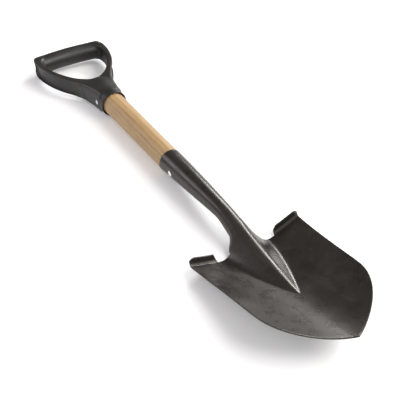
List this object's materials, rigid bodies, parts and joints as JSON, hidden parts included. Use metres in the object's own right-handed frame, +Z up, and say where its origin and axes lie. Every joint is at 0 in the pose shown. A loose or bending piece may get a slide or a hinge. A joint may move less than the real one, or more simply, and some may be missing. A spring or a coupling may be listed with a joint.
{
  "type": "d-grip round-point garden spade",
  "caption": "Short D-grip digging spade with a dished round-point steel blade, turned steps, a rolled socket, a short wooden shaft and a moulded grip.",
  "frame": {"origin": "on the floor under the centre of the bounding box, with the spade lying on its back", "axes": "+X from the D-grip to the blade tip along the shaft, +Z up out of the hollow front face, +Y across the blade"},
  "size_m": [0.6873, 0.1516, 0.0402],
  "materials": {
    "blade": "satin",
    "shaft": "satin varnish",
    "grip": "satin",
    "rivet": "bright"
  },
  "bodies": {
    "root": {"blade": "blade", "shaft": "shaft", "grip": "grip", "grip_rivet": "rivet", "socket_rivet": "rivet"}
  },
  "joints": []
}
